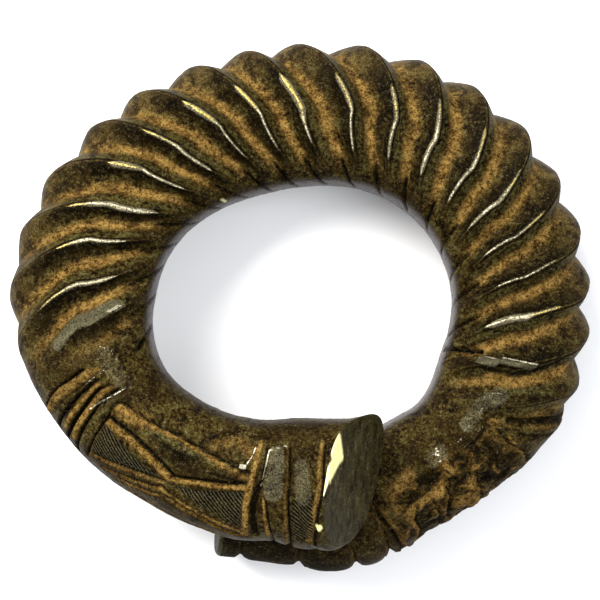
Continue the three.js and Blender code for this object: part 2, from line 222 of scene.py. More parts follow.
def flute_phase(station, section):
    """A whole number on a crest, and a half between two crests."""
    shift = np.interp(station, OUTER_SHIFTS[:, 0], OUTER_SHIFTS[:, 1])
    shift = shift * between(section, *OUTER_SECTIONS)
    return crest_count(station - shift) - winding(section) + winding(90)


def fluted_share(station, section):
    """1 where the flutes are full, fading out at both ends and on the hole's wall."""
    upper, upper_start, upper_end = UPPER_SHALLOWER
    lower, lower_start, lower_end = LOWER_SHALLOWER
    shallow = upper * smooth(station, upper_start, upper_end)
    shallow = shallow + lower * (1 - smooth(station, lower_start, lower_end))
    share = between(station, *FLUTED_STATIONS) * (1 - shallow * smooth(section, 110, 160))
    return share * smooth(from_inner_wall(section), *WALL_TO_FLUTES)


def flute_depth(station, section):
    """Depth of a flute: a rounded absolute sine of the phase on top, giving sharp crests, and 1
    less an absolute cosine outside, giving full lobes with sharp clefts."""
    phase = np.pi * flute_phase(station, section)
    channel = np.sqrt(np.sin(phase) ** 2 + CREST_ROUNDING ** 2) - CREST_ROUNDING
    lobe = 1 - np.abs(np.cos(phase))
    rounded = LOBE_SHARE * smooth(from_inner_wall(section), 115, 165)
    return FLUTE_DEPTH * fluted_share(station, section) * ((1 - rounded) * channel + rounded * lobe)


def lattice_noise(along, section, cell, cells_round, seed):
    """Smooth noise from -1 to 1: random numbers on a lattice over the surface, blended between
    neighbours with an S-shaped step. It closes on itself round the section."""
    random = np.random.default_rng(seed)
    spots = along / cell
    first = np.floor(spots.min()).astype(int)
    lattice = random.uniform(-1, 1, (int(spots.max()) - first + 3, cells_round))
    row = np.floor(spots).astype(int)
    turn = (section % 360) / 360 * cells_round
    column = np.floor(turn).astype(int) % cells_round
    row_share = smooth(spots - row, 0, 1)
    column_share = smooth(turn - np.floor(turn), 0, 1)
    row = row - first
    after = (column + 1) % cells_round
    near = lattice[row, column] * (1 - column_share) + lattice[row, after] * column_share
    far = lattice[row + 1, column] * (1 - column_share) + lattice[row + 1, after] * column_share
    return near * (1 - row_share) + far * row_share


def layered_noise(along, section, cell, cells_round, seed, layers=3):
    """Lattice noise at several sizes added up, each half as large and half as strong."""
    total = np.zeros_like(along)
    for layer in range(layers):
        scale = 2 ** layer
        total += lattice_noise(along, section, cell / scale, cells_round * scale, seed + layer) / scale
    return total


def beside(first, second, line):
    """Place of each point beside a bent line of a plane: how far off its nearest stretch, positive
    on the left of the way it runs, and how far past either end of the whole line."""
    nearest = np.full_like(first, np.inf)
    off = np.zeros_like(first)
    past = np.zeros_like(first)
    for index in range(len(line) - 1):
        step_first, step_second = line[index + 1] - line[index]
        length = np.hypot(step_first, step_second)
        from_first, from_second = first - line[index][0], second - line[index][1]
        passed = (from_first * step_first + from_second * step_second) / length
        aside = (from_second * step_first - from_first * step_second) / length
        distance = np.hypot(aside, np.maximum(np.maximum(-passed, passed - length), 0))
        closer = distance < nearest
        nearest = np.where(closer, distance, nearest)
        off = np.where(closer, aside, off)
        before = -passed if index == 0 else 0
        after = passed - length if index == len(line) - 2 else 0
        past = np.where(closer, np.maximum(np.maximum(before, after), 0), past)
    return off, past


def beside_on_bar(station, section, line):
    """The same on the bar's surface, laid out flat in millimetres at the line's own place."""
    line = np.array(line, dtype=float)
    middle = line[:, 0].mean()
    along_scale = np.radians(centre_radius(middle))
    round_scale = np.radians(half_width(middle))
    return beside(station * along_scale, section * round_scale, line * [along_scale, round_scale])


ROWS_MARGIN = 4  # degrees on both sides of a line
CUT_RUN_OUT = 0.7  # millimetres past the ends of a cut
RIM_HALF = 0.25  # of the worn rims of its walls
STROKE_CORE = 0.55  # share of a stroke's half width over which it is full


def rows_near(station, line):
    """The rows of points that come within a few degrees of a line."""
    stations = [place[0] for place in line]
    low, high = min(stations) - ROWS_MARGIN, max(stations) + ROWS_MARGIN
    return (station.max(axis=1) > low) & (station.min(axis=1) < high)


def mark_most(marks, name, rows, share):
    """Raises a mark to a share where it is less."""
    marks[name][rows] = np.maximum(marks[name][rows], share)


def add_cuts(station, section, cuts, height, marks):
    """Chip cuts, each (line, depth, steep, gentle, earth): the depth falls evenly from the line to
    the edge of a steep wall on its right and a gentle one on its left, and softly past its ends.
    Painted shade on the line and steep wall, earth on the gentle wall; both walls' rims worn pale."""
    for line, depth, steep, gentle, earth in cuts:
        rows = rows_near(station, line)
        off, past = beside_on_bar(station[rows], section[rows], line)
        ends = np.clip(1 - past / CUT_RUN_OUT, 0, 1)
        wall = np.where(off > 0, 1 - off / gentle, 1 + off / steep)
        height[rows] -= depth * np.clip(wall, 0, 1) * ends
        soil = between(off, 0.1 * gentle, 0.5 * gentle, 0.85 * gentle, 1.1 * gentle)
        mark_most(marks, "earth", rows, earth * soil * ends)
        cleft = between(off, -steep - 0.1, -0.5 * steep, 0.1 * gentle, 0.4 * gentle)
        mark_most(marks, "shadow", rows, cleft * ends)
        rim = 0.55 * vee(off + steep + 0.2, RIM_HALF) + 0.45 * vee(off - gentle - 0.15, RIM_HALF)
        mark_most(marks, "silver", rows, rim * ends)


def add_strokes(station, section, height, marks):
    """Strokes of wear, earth or shade: full along the middle of a bent line and fading to its
    edge, with the surface raised or sunk with it."""
    for mark, strokes in STROKES.items():
        for line, half, strength, rise in strokes:
            rows = rows_near(station, line)
            off, past = beside_on_bar(station[rows], section[rows], line)
            share = 1 - smooth(np.hypot(off, past), STROKE_CORE * half, half)
            height[rows] += rise * share
            mark_most(marks, mark, rows, strength * share)


def inside_triangle(station, section, corners, edge):
    """1 inside a triangle of the surface and 0 outside, blended over an edge in millimetres."""
    share = np.ones_like(station)
    for first, second, third in zip(corners, corners[1:] + corners[:1], corners[2:] + corners[:2]):
        off, _ = beside_on_bar(station, section, [first, second])
        inner, _ = beside_on_bar(np.array([float(third[0])]), np.array([float(third[1])]), [first, second])
        share = share * smooth(np.sign(inner) * off, 0, edge)
    return share


# The panel on the upper end, as cuts (line, depth, steep wall, gentle wall, earth), millimetres
PANEL_CUTS = [
    ([(210.8, 86), (219.4, 82), (229, 78), (240.4, 81), (252.6, 86.5)], 0.8, 0.25, 1, 1),
    ([(226, 88.5), (234.4, 89), (244.8, 90), (252.8, 90.5)], 0.4, 0.2, 0.25, 0),
    ([(212.2, 98), (218.2, 94), (225.4, 96), (230, 100), (234, 105)], 1.1, 0.5, 1.9, 0.85),
    ([(234.2, 106.5), (240.8, 98.5), (253, 90.8)], 1, 0.5, 1.25, 1),
    ([(216, 144), (221.2, 133), (226.8, 122), (232.8, 115)], 0.6, 0.3, 0.9, 0.6),
    ([(220.4, 148), (225.4, 137), (232.8, 124)], 0.6, 0.3, 1, 0.5),
    ([(224, 150), (229, 141), (234, 133)], 0.6, 0.25, 0.8, 0.9),
    ([(233.4, 122), (241.4, 130), (248.2, 136), (256.4, 142)], 0.7, 0.25, 1, 0.8),
    ([(236.6, 131), (245.4, 140), (251.8, 147), (257.2, 150)], 0.6, 0.25, 1, 0.6),
    ([(228, 158), (240, 158), (252, 162)], 0.6, 0.3, 1.2, 0.5),
]
# The grooves that end the flutes and border the panel on its left
FAN_CUTS = [
    ([(207.4, 160), (205.2, 127), (203.8, 109), (202.2, 91)], 1.2, 0.45, 0.45, 0),
    ([(210.6, 162), (208.8, 134), (207, 114), (204.2, 90)], 1.3, 0.45, 0.45, 0),
    ([(213.8, 162), (210.4, 122), (208, 99), (206.6, 84)], 1, 0.4, 0.4, 0),
    ([(216, 150), (213.2, 115), (211.6, 98), (209.8, 88)], 0.8, 0.35, 0.4, 0.3),
    ([(203, 160), (200.4, 128), (199.6, 110), (198.4, 96)], 1.1, 0.5, 0.5, 0.3),
]
# Cuts across the upper end between the panel and its face
BAND_CUTS = [
    ([(257, 68), (257.6, 90), (260, 106), (262.9, 149), (263.5, 190)], 0.8, 0.3, 0.3, 0),
    ([(265.3, 62), (266.2, 88), (266, 96), (267.2, 144), (267.6, 190)], 1, 0.35, 0.9, 0.55),
    ([(272.6, 66), (269, 73), (266.6, 78)], 0.5, 0.2, 0.5, 0.1),
    ([(274.4, 66), (270, 75), (267, 81)], 0.4, 0.2, 0.4, 0.1),
    ([(279.2, 60), (277.2, 84), (274.8, 106), (273.6, 124), (273, 150)], 0.8, 0.3, 1.4, 1),
    ([(260.4, 93.5), (264.6, 92.5)], 0.3, 0.12, 0.12, 0),
]
HATCHED_A = [(233, 114), (215.8, 143), (212.8, 105)]
HATCHED_B = [(256.2, 139), (253.2, 96), (234.6, 115)]
# The fine cuts: lean from the bar's own direction in degrees, and spacing in millimetres
STROKE_LEAN_A = 26
STROKE_LEAN_B = 41
STROKE_LEAN_BAND = 46
STROKE_SPACING = 0.64

# Raised bands, (station, half width in degrees, height), and grooves, (.., depth)
UPPER_BANDS = [(261.6, 4.2, 0.45), (270.3, 3.7, 0.6)]
LOWER_BANDS = [(-67.5, 2.4, 0.5), (-74.6, 2.3, 0.5), (-84.4, 4.4, 0.5), (-97.2, 4.8, 0.5)]
LOWER_GROOVES = [(-70.6, 0.9, 1.2), (-78.4, 1.1, 1.3), (-90.7, 1.2, 1.3), (-103.6, 1.1, 1.1)]
BAND_LEAN = 0.075

# Cuts across the lower end's broken shoulder, as the panel's cuts
SHOULDER_CUTS = [
    ([(-33.4, 97), (-34.6, 118), (-34.4, 140), (-35.4, 172)], 0.8, 0.3, 0.9, 0.5),
    ([(-38.2, 114), (-40.6, 132), (-40.2, 150)], 0.45, 0.25, 1.1, 0.7),
    ([(-44.6, 118), (-46.2, 136), (-48, 166)], 0.55, 0.2, 0.9, 0.5),
    ([(-52.4, 114), (-52.8, 128), (-55.4, 146), (-55.8, 170)], 0.8, 0.25, 0.9, 0.7),
    ([(-56.8, 120), (-57.2, 142), (-58.8, 176)], 0.7, 0.25, 0.6, 0.4),
    ([(-60.8, 113), (-62.8, 130), (-62.4, 148), (-63.8, 170)], 0.7, 0.25, 0.9, 0.7),
    ([(-67.4, 184), (-68.4, 130), (-70.2, 98)], 1.3, 0.6, 0.9, 0.9),
]

# Strokes by their mark, each (line, half width, strength, rise), millimetres
STROKES = {
    "earth": [
        ([(254.3, 60), (254.6, 89), (254.8, 108), (256.4, 148)], 0.75, 1, 0.35),
        ([(240, 72), (246, 62), (253, 72)], 1.8, 0.4, 0),
        ([(258.9, 96), (259.8, 110), (262, 147)], 0.36, 1, 0.2),
        ([(212.6, 87.6), (219, 84.4)], 1.3, 0.6, 0),
        ([(203.4, 156), (201.6, 128), (200.8, 110), (199.6, 92)], 1.25, 0.65, 0.6),
        ([(209, 150), (207, 130), (205.4, 111), (203.3, 91)], 0.55, 0.8, 0.3),
        ([(211.6, 148), (209.6, 128), (207.5, 106), (205.4, 89)], 0.7, 0.8, 0.4),
        ([(-22.8, 80), (-21.2, 96), (-17.6, 122), (-14.2, 146)], 1.5, 0.95, 0),
        ([(-29, 128), (-26.2, 160)], 0.5, 0.5, 0.4),
        ([(-32.6, 94), (-33.2, 99)], 0.8, 1, 0.3),
        ([(-33.8, 112), (-34.9, 140)], 0.3, 1, 0.2),
        ([(-53.6, 110), (-55.2, 116)], 1.6, 0.9, 0.5),
        ([(-46.6, 124), (-47.6, 132)], 1.2, 0.8, 0.4),
        ([(-58, 89), (-65, 92)], 1, 0.75, 0.3),
        ([(-42.4, 97), (-42.8, 101)], 0.7, 0.8, 0.3),
        ([(-69.4, 103), (-67.9, 124)], 0.8, 0.9, 0.2),
    ],
    "shadow": [
        ([(257.2, 92), (256.8, 108), (258.8, 146)], 0.75, 0.9, -0.6),
        ([(227, 92.5), (240, 93.2), (250, 90.8)], 1, 0.5, -0.25),
        ([(173, 103.4), (173, 104.8)], 0.35, 1, -0.4),
        ([(190, 66), (192, 52)], 1.2, 0.7, -0.2),
        ([(-19.3, 14), (-17.5, 46), (-16.4, 62)], 0.75, 1, -1.5),
        ([(-20.8, 74), (-19.6, 90), (-16.8, 108), (-12.6, 134)], 0.6, 0.95, -0.4),
        ([(-30.4, 106), (-26.8, 140), (-23.2, 182)], 1, 0.85, -0.9),
        ([(-31.8, 122), (-28.2, 160)], 0.45, 0.7, -0.4),
        ([(-35.4, 92), (-41, 95), (-44, 103), (-46, 108)], 0.35, 0.9, -0.3),
    ],
    "silver": [
        ([(253, 64), (252.6, 76), (251.8, 82)], 0.25, 0.9, 0),
        ([(257.7, 92), (257.9, 69), (264.4, 62.5)], 0.25, 0.95, 0),
        ([(222.8, 86.8), (232, 87), (242.4, 87.5), (252, 88.9)], 0.3, 0.6, 0.1),
        ([(250, 83.6), (251.4, 84.4)], 0.55, 1, 0),
        ([(207.8, 108), (207.4, 94), (207.4, 88), (207.2, 78)], 0.28, 0.9, 0.1),
        ([(202, 100), (201, 90), (199, 82)], 0.28, 0.8, 0),
        ([(193, 86), (195.4, 78), (199, 75)], 0.25, 0.8, 0),
        ([(184, 74), (182.6, 65)], 0.9, 0.8, 0.1),
        ([(-18, 66), (-16.8, 82), (-15.7, 92), (-15.7, 106)], 0.35, 1, 0.1),
        ([(-25, 95), (-25.6, 88), (-28.6, 85), (-31.6, 86.5), (-35.4, 85), (-39, 87.5), (-43.2, 88)],
         0.3, 0.75, 0.15),
        ([(-48, 85), (-49.6, 90.5)], 0.4, 1, 0.1),
        ([(-48.6, 86), (-50.2, 86.5)], 0.3, 0.9, 0.1),
        ([(-35, 90), (-43, 92), (-46, 100)], 0.25, 0.7, 0.1),
    ],
    "grey": [
        ([(260.6, 71), (261.6, 95)], 2.8, 0.75, 0),
        ([(269.6, 83), (270.6, 99)], 2.3, 0.7, 0.3),
        ([(196, 81), (206, 77)], 2.4, 0.5, 0),
        ([(190.8, 110), (186.8, 94), (183.4, 76), (182, 64)], 1.8, 1, 0.3),
        ([(-18.7, 68), (-18.4, 80)], 1.5, 1.2, 0.2),
        ([(-17.4, 82), (-16.2, 104)], 1, 1, 0.15),
        ([(-25, 91), (-31, 84), (-38, 85)], 1.6, 0.7, 0),
        ([(-46.5, 86), (-52, 89)], 1.1, 0.6, 0),
    ],
    "green": [
        ([(270, 102), (270.4, 112)], 1.6, 0.7, 0),
        ([(221, 86.5), (240, 84.8), (250, 87)], 0.7, 0.8, 0),
        ([(214, 145), (211.8, 120), (210, 100), (208.4, 88)], 0.7, 0.5, 0.2),
        ([(-24.2, 90), (-22.6, 104), (-20, 130)], 0.8, 0.9, 0.2),
        ([(-33.2, 102), (-34.4, 120), (-34.8, 150)], 0.4, 1, 0.5),
    ],
    "brass": [
        ([(128, 22), (128.9, 31)], 0.5, 0.55, 0),
        ([(274.1, 126), (274.3, 128.5)], 0.65, 1, 0),
    ],
}

# How each crest is worn bare: the sections where the wear starts, turns from silver to golden and
# ends, and the half widths of both. Three crests at the lower end and four at the upper have none.
UNWORN = (70, 98, 98, 0, 0)
CREST_WEAR = np.array([UNWORN] * 3 + [
    (68, 98, 119, 0.9, 0.45),
    (74, 112, 119, 0.32, 0.3),
    (70, 104, 121, 0.38, 0.35),
    (68, 106, 121, 0.6, 0.35),
    (66, 104, 123, 0.5, 0.4),
    (68, 112, 121, 0.62, 0.45),
    (68, 96, 117, 0.5, 0.55),
    (66, 96, 119, 0.36, 0.6),
    (72, 92, 121, 0.36, 1),
    (70, 98, 119, 0.4, 0.7),
    (70, 98, 121, 0.36, 0.8),
    (68, 98, 117, 0.5, 0.5),
    (66, 96, 113, 0.5, 0.9),
    (66, 108, 119, 0.85, 0.4),
    (74, 104, 113, 0.6, 0.35),
    (72, 104, 121, 0.6, 0.35),
] + [UNWORN] * 4)
WEAR_UNITS = 24  # of the half widths, from one crest to the next


PANEL_STATION = 235  # where the fine cuts have their true spacing

# Noises of the surface: cell in millimetres, cells round the section, seed, layers
LUMPS = (4.4, 22, 41, 4)
CRACKS = (5.2, 18, 77, 3)


# Height of the unevenness, then its noise
UNEVEN = [(0.10, 6, 14, 21, 3), (0.04, 0.9, 96, 33, 2)]
PITS = (1.1, 80, 57)

MEAN_RADIUS = 46  # of the bar's middle line, for the noises


def add_bands(station, section, bands, grooves, lean, height, marks):
    """Raised bands, each half an ellipse across, with V grooves between them. They lean with the
    section angle, start at the hole's side of the top and run out underneath."""
    around = between(section, 60, 72, 215, 250)
    straight = station - lean * np.clip(section - 80, 0, 100)
    for centre, half, rise in bands:
        round_top = np.sqrt(np.clip(1 - ((straight - centre) / half) ** 2, 0, 1))
        height += rise * round_top * around
    for centre, half, depth in grooves:
        cut = vee(straight - centre, half) * around
        height -= depth * cut
        mark_most(marks, "earth", ..., 0.7 * cut)
        # Painted shade deep in the grooves
        mark_most(marks, "shadow", ..., smooth(cut, 0.45, 0.9))


def fine_cuts(station, section, lean):
    """Counts fine straight cuts: the distance across them over their spacing, for cuts that lean
    from the bar's own direction towards the outside."""
    along = np.radians(station) * centre_radius(PANEL_STATION)
    around = np.radians(section) * half_width(PANEL_STATION)
    turn = math.radians(lean)
    return (around * math.cos(turn) - along * math.sin(turn)) / STROKE_SPACING


def add_hatching(station, section, height, marks):
    """The two hatched triangles, a little sunk, and the fine cuts across the second band. The
    marks are where the cuts are and how many of them have been passed."""
    share_a = inside_triangle(station, section, HATCHED_A, 0.3)
    share_b = inside_triangle(station, section, HATCHED_B, 0.3)
    share_band = between(section, 99, 103, 140, 150) * between(station, 266.8, 267.4, 272.6, 273.2)
    count = fine_cuts(station, section, STROKE_LEAN_A)
    count = np.where(share_b > 0, fine_cuts(station, section, STROKE_LEAN_B), count)
    count = np.where(share_band > 0, fine_cuts(station, section, STROKE_LEAN_BAND), count)
    share = np.maximum(np.maximum(share_a, share_b), share_band)
    cuts = np.clip(0.5 + 0.5 * np.cos(2 * np.pi * count), 0, 1)
    height -= share * (0.15 + 0.25 * cuts)
    marks["hatched"] = share
    marks["count"] = count


def add_crust(station, section, along, height, marks):
    """Lumps of hard earth on the outer half of the lower end: layered noise, its lows and highs
    cut off, and cracks where a second noise crosses nought."""
    share = between(station, -76, -60, -40, -33) * between(section, 85, 97, 195, 230)
    lumps = layered_noise(along, section, *LUMPS)
    height += share * (0.75 * np.clip(lumps, -0.7, 1.0))
    crack = vee(layered_noise(along, section, *CRACKS), 0.07)
    height -= share * 0.5 * crack
    marks["crust"] = share
    mark_most(marks, "earth", ..., 0.7 * share * smooth(lumps, 0.25, 0.7))
    # Painted shade in the cracks and in the hollows between lumps
    mark_most(marks, "shadow", ..., share * np.maximum(crack, 0.9 * smooth(-lumps, 0.2, 0.6)))


def add_crest_wear(section, phase, marks):
    """Each crest is worn over its own stretch, coming and going over a few degrees: the half width
    in crests, and how golden it is."""
    number = np.clip(np.round(phase).astype(int), 0, len(CREST_WEAR) - 1)
    start, change, end, silver_half, gold_half = np.moveaxis(CREST_WEAR[number], -1, 0)
    gold = smooth(section, change - 8, change + 1)
    half = silver_half * (1 - gold) + gold_half * gold
    marks["bare"] = half / WEAR_UNITS * between(section, start - 3, start + 7, end - 6, end + 2)
    marks["gold"] = gold


def add_slits(station, section, phase, height, marks):
    """Sunk slits with painted shade where the flutes close up on the hole's wall, wider away from it."""
    off_wall = from_inner_wall(section)
    opening = 0.04 + 0.06 * smooth(off_wall, 8, 34)
    slit = vee(phase - np.floor(phase) - 0.5, opening)
    slit = slit * between(off_wall, 2, 12, 44, 60) * between(station, -22, -14, 196, 206)
    height -= 1.1 * slit
    mark_most(marks, "shadow", ..., smooth(slit, 0.1, 0.6))


def add_unevenness(along, section, height, marks):
    """The casting's fine unevenness, and small sunk pits with painted shade where a noise is highest."""
    for rise, *noise in UNEVEN:
        height += rise * layered_noise(along, section, *noise)
    pits = smooth(lattice_noise(along, section, *PITS), 0.75, 0.95)
    height -= 0.12 * pits
    mark_most(marks, "shadow", ..., 0.6 * pits)


def relief(station, section):
    """The carved surface's height over the plain bar, and the marks that the finish reads."""
    along = np.radians(station) * MEAN_RADIUS
    phase = flute_phase(station, section)
    marks = {name: np.zeros_like(station) for name in STROKES}
    height = -flute_depth(station, section)
    add_bands(station, section, UPPER_BANDS, [], BAND_LEAN, height, marks)
    add_bands(station, section, LOWER_BANDS, LOWER_GROOVES, 0, height, marks)
    add_cuts(station, section, PANEL_CUTS + FAN_CUTS + BAND_CUTS + SHOULDER_CUTS, height, marks)
    add_strokes(station, section, height, marks)
    add_hatching(station, section, height, marks)
    add_crust(station, section, along, height, marks)
    add_slits(station, section, phase, height, marks)
    add_unevenness(along, section, height, marks)
    add_crest_wear(section, phase, marks)

    marks["phase"] = phase
    marks["section"] = section
    marks["fluted"] = fluted_share(station, section) * between(section, 34, 56, 175, 200)
    marks["outside"] = smooth(section, 112, 160)
    wall = 1 - smooth(from_inner_wall(section), 16, 30)
    marks["wall"] = wall * (1 - 0.85 * smooth(station, 198, 214))
    # Painted shadow on the lower end where the upper end lies over it
    overlap_shadow = (1 - smooth(station, -88, -70)) * (1 - smooth(section, 235, 265))
    mark_most(marks, "shadow", ..., 0.7 * overlap_shadow)
    return height, marks


def surface_points(station, section, height):
    """Points on the bar: a section that is an ellipse made squarer by powers of its cosine and
    sine, swelled by height, set at the middle line's distance and turned to its station."""
    cosine = np.cos(np.radians(section))
    sine = np.sin(np.radians(section))
    fullness = np.where(cosine > 0, INNER_WALL_FULLNESS, OUTER_FULLNESS)
    reach = half_width(station) + np.where(cosine > 0, inner_trim(station), outer_trim(station))
    outward = -reach * np.sign(cosine) * np.abs(cosine) ** fullness
    upward = half_height(station) * np.sign(sine) * np.abs(sine) ** TOP_FULLNESS
    scale = 1 + height / np.hypot(outward, upward)
    radius = centre_radius(station) + outward * scale
    angle = np.radians(station)
    return np.stack(
        [radius * np.cos(angle), radius * np.sin(angle), centre_height(station) + upward * scale],
        axis=-1,
    )


def stations_at_face(face, section, shrink, back):
    """Where each lengthwise line meets an end face, by halving the stretch searched."""
    point, normal, (low, high) = face
    normal = np.array(normal) / np.linalg.norm(normal)
    point = np.array(point) - back * normal
    low = np.full_like(section, float(low))
    high = np.full_like(section, float(high))
    high_is_past = ((surface_points(high, section, -shrink) - point) @ normal) > 0
    for _ in range(HALVINGS):
        middle = (low + high) / 2
        past = ((surface_points(middle, section, -shrink) - point) @ normal) > 0
        same = past == high_is_past
        high = np.where(same, middle, high)
        low = np.where(same, low, middle)
    return (low + high) / 2


def column_angles():
    """Section angle of each column: an even turn with a sine added, so that the columns crowd on
    the carved top and outer side."""
    turn = np.arange(SECTION_COLUMNS) / SECTION_COLUMNS
    crowd = np.sin(2 * np.pi * (turn + CROWDING_SHIFT)) - np.sin(2 * np.pi * CROWDING_SHIFT)
    return 360 * turn + COLUMN_CROWDING * crowd


def row_shares():
    """How far along the bar each row of points lies, in three stretches of their own spacing."""
    ends = [start for start, _ in ROW_STEPS[1:]] + [1.0]
    stretches = [
        np.linspace(start, end, rows, endpoint=False)
        for (start, rows), end in zip(ROW_STEPS, ends)
    ]
    return np.append(np.concatenate(stretches), 1.0)


def end_rows(face, section, rounding, face_rows):
    """Rows that close an end: first a quarter round from the bar to the face, then shrinking
    copies of the rim towards its middle, closer together near the rim. From the bar inwards."""
    rows = []
    point, normal, _ = face
    normal = np.array(normal) / np.linalg.norm(normal)
    for step in range(1, RIM_ROWS + 1):
        turn = math.pi / 2 * step / RIM_ROWS
        shrink = rounding * (1 - math.cos(turn))
        back = rounding * (1 - math.sin(turn))
        rows.append(surface_points(stations_at_face(face, section, shrink, back), section, -shrink))
    rim = rows[-1]
    middle = rim.mean(axis=0)
    for step in range(1, face_rows):
        share = 1 - (step / face_rows) ** FACE_ROW_CROWDING
        rows.append(middle + (rim - middle) * share)
    return rows, middle, normal


def face_roughness(points, normal, seed):
    """A face is dressed by hand: long shallow waves along its normal, from sines of several
    directions with random starts."""
    random = np.random.default_rng(seed)
    wave = np.zeros(points.shape[:-1])
    for _ in range(FACE_WAVES):
        way = random.normal(size=3)
        way = way - normal * (way @ normal)
        way = way / np.linalg.norm(way) * random.uniform(0.3, 1.3)
        wave = wave + np.sin(points @ way + random.uniform(0, 6.3)) / FACE_WAVES
    return wave


# The bright chip in the upper face beside its rim: places from the hole's middle, and half width
FACE_CHIP = [
    ([(6.9, -29.6), (7.4, -33.6)], 1.35),
    ([(7.4, -33.6), (5.4, -37.2)], 1.05),
    ([(5.4, -37.2), (4.0, -41.0)], 0.6),
]


def mark_face_chip(points):
    """How much of each point lies in the bright chip, seen from above."""
    share = np.zeros(points.shape[:-1])
    for line, half in FACE_CHIP:
        off, past = beside(points[..., 0], points[..., 1], np.array(line))
        share = np.maximum(share, 1 - smooth(np.hypot(off, past), 0.8 * half, 1.05 * half))
    return share


def build_ring():
    """The whole closed surface: the lower end's rows, the bar's rows and the upper end's rows,
    joined by quads round the section, with one point in the middle of each face."""
    angles = column_angles()
    starts = stations_at_face(LOWER_FACE, angles, 0, LOWER_RIM_ROUNDING)
    ends = stations_at_face(UPPER_FACE, angles, 0, UPPER_RIM_ROUNDING)
    share = row_shares()[:, None]
    station = starts + (ends - starts) * share
    section = np.broadcast_to(angles, station.shape).copy()
    height, marks = relief(station, section)
    # The relief dies away at each rim, so that the ends close cleanly
    bar = surface_points(station, section, height * between(share, 0, 0.006, 0.996, 1.0))

    lower_rows, lower_middle, lower_normal = end_rows(
        LOWER_FACE, angles, LOWER_RIM_ROUNDING, LOWER_FACE_ROWS)
    upper_rows, upper_middle, upper_normal = end_rows(
        UPPER_FACE, angles, UPPER_RIM_ROUNDING, UPPER_FACE_ROWS)
    rows = np.concatenate([np.array(lower_rows[::-1]), bar, np.array(upper_rows)])
    count_lower, count_upper = len(lower_rows), len(upper_rows)
    upper_start = len(rows) - count_upper
    chip = mark_face_chip(rows[upper_start:])

    for first, last, normal, seed in (
        (0, count_lower - RIM_ROWS, lower_normal, 3),
        (upper_start + RIM_ROWS, len(rows), upper_normal, 4),
    ):
        waves = face_roughness(rows[first:last], normal, seed)
        rows[first:last] += FACE_WAVE_HEIGHT * waves[..., None] * normal

    points = np.concatenate([rows.reshape(-1, 3), lower_middle[None], upper_middle[None]])
    padded = {}
    for name, values in marks.items():
        values = np.broadcast_to(values, station.shape)
        low = np.zeros((count_lower, SECTION_COLUMNS))
        high = np.zeros((count_upper, SECTION_COLUMNS))
        if name == "brass":
            high = chip
        flat = np.concatenate([low, values, high]).ravel()
        padded[name] = np.append(flat, [0.0, 0.0])
    face = np.zeros((len(rows), SECTION_COLUMNS))
    face[:count_lower] = 1
    face[upper_start:] = 1
    padded["face"] = np.append(face.ravel(), [1.0, 1.0])

    row, column = np.meshgrid(np.arange(len(rows) - 1), np.arange(SECTION_COLUMNS), indexing="ij")
    following = (column + 1) % SECTION_COLUMNS
    near, near_next = row * SECTION_COLUMNS + column, row * SECTION_COLUMNS + following
    quads = np.stack([near, near_next, near_next + SECTION_COLUMNS, near + SECTION_COLUMNS], axis=-1)
    quads = quads.reshape(-1, 4)
    rim = np.arange(SECTION_COLUMNS)
    rim_next = (rim + 1) % SECTION_COLUMNS
    last_row = (len(rows) - 1) * SECTION_COLUMNS
    lower_fan = np.stack([np.full_like(rim, len(points) - 2), rim_next, rim], axis=-1)
    upper_fan = np.stack([np.full_like(rim, len(points) - 1), last_row + rim, last_row + rim_next], axis=-1)
    return points, quads, np.concatenate([lower_fan, upper_fan]), padded


def fit_to_frame(points):
    """Sets the ring where the frame's ring is: centred over the same floor point, worn flat where
    it rests, and held inside the frame's box."""
    low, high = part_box("ring")
    low, high = np.array(low) / MM, np.array(high) / MM
    middle = (points.min(axis=0) + points.max(axis=0)) / 2
    hole = np.array([-middle[0], -middle[1], 0.0])
    points = points + hole
    points[:, 2] = np.maximum(points[:, 2], 0.0)
    reach = np.abs(points[:, :2]).max(axis=0)
    points[:, :2] *= np.minimum(high[:2] / reach, 1.0)
    points[:, 2] *= min(high[2] / points[:, 2].max(), 1.0)
    return points, hole


def make_mesh(name, points, quads, triangles, marks):
    """Puts whole arrays into a mesh, with each mark as a value on the points."""
    mesh = bpy.data.meshes.new(name)
    corners = np.concatenate([quads.ravel(), triangles.ravel()]).astype(np.int32)
    sizes = np.concatenate([np.full(len(quads), 4), np.full(len(triangles), 3)]).astype(np.int32)
    mesh.vertices.add(len(points))
    mesh.vertices.foreach_set("co", (points * MM).astype(np.float32).ravel())
    mesh.loops.add(len(corners))
    mesh.loops.foreach_set("vertex_index", corners)
    mesh.polygons.add(len(sizes))
    mesh.polygons.foreach_set("loop_start", np.concatenate([[0], np.cumsum(sizes)[:-1]]).astype(np.int32))
    mesh.polygons.foreach_set("loop_total", sizes)
    mesh.update(calc_edges=True)
    mesh.validate()
    mesh.polygons.foreach_set("use_smooth", np.ones(len(sizes), dtype=bool))
    for mark, values in marks.items():
        layer = mesh.attributes.new(mark, "FLOAT", "POINT")
        layer.data.foreach_set("value", values.astype(np.float32))
    ring = bpy.data.objects.new(name, mesh)
    scene.collection.objects.link(ring)
    return ring


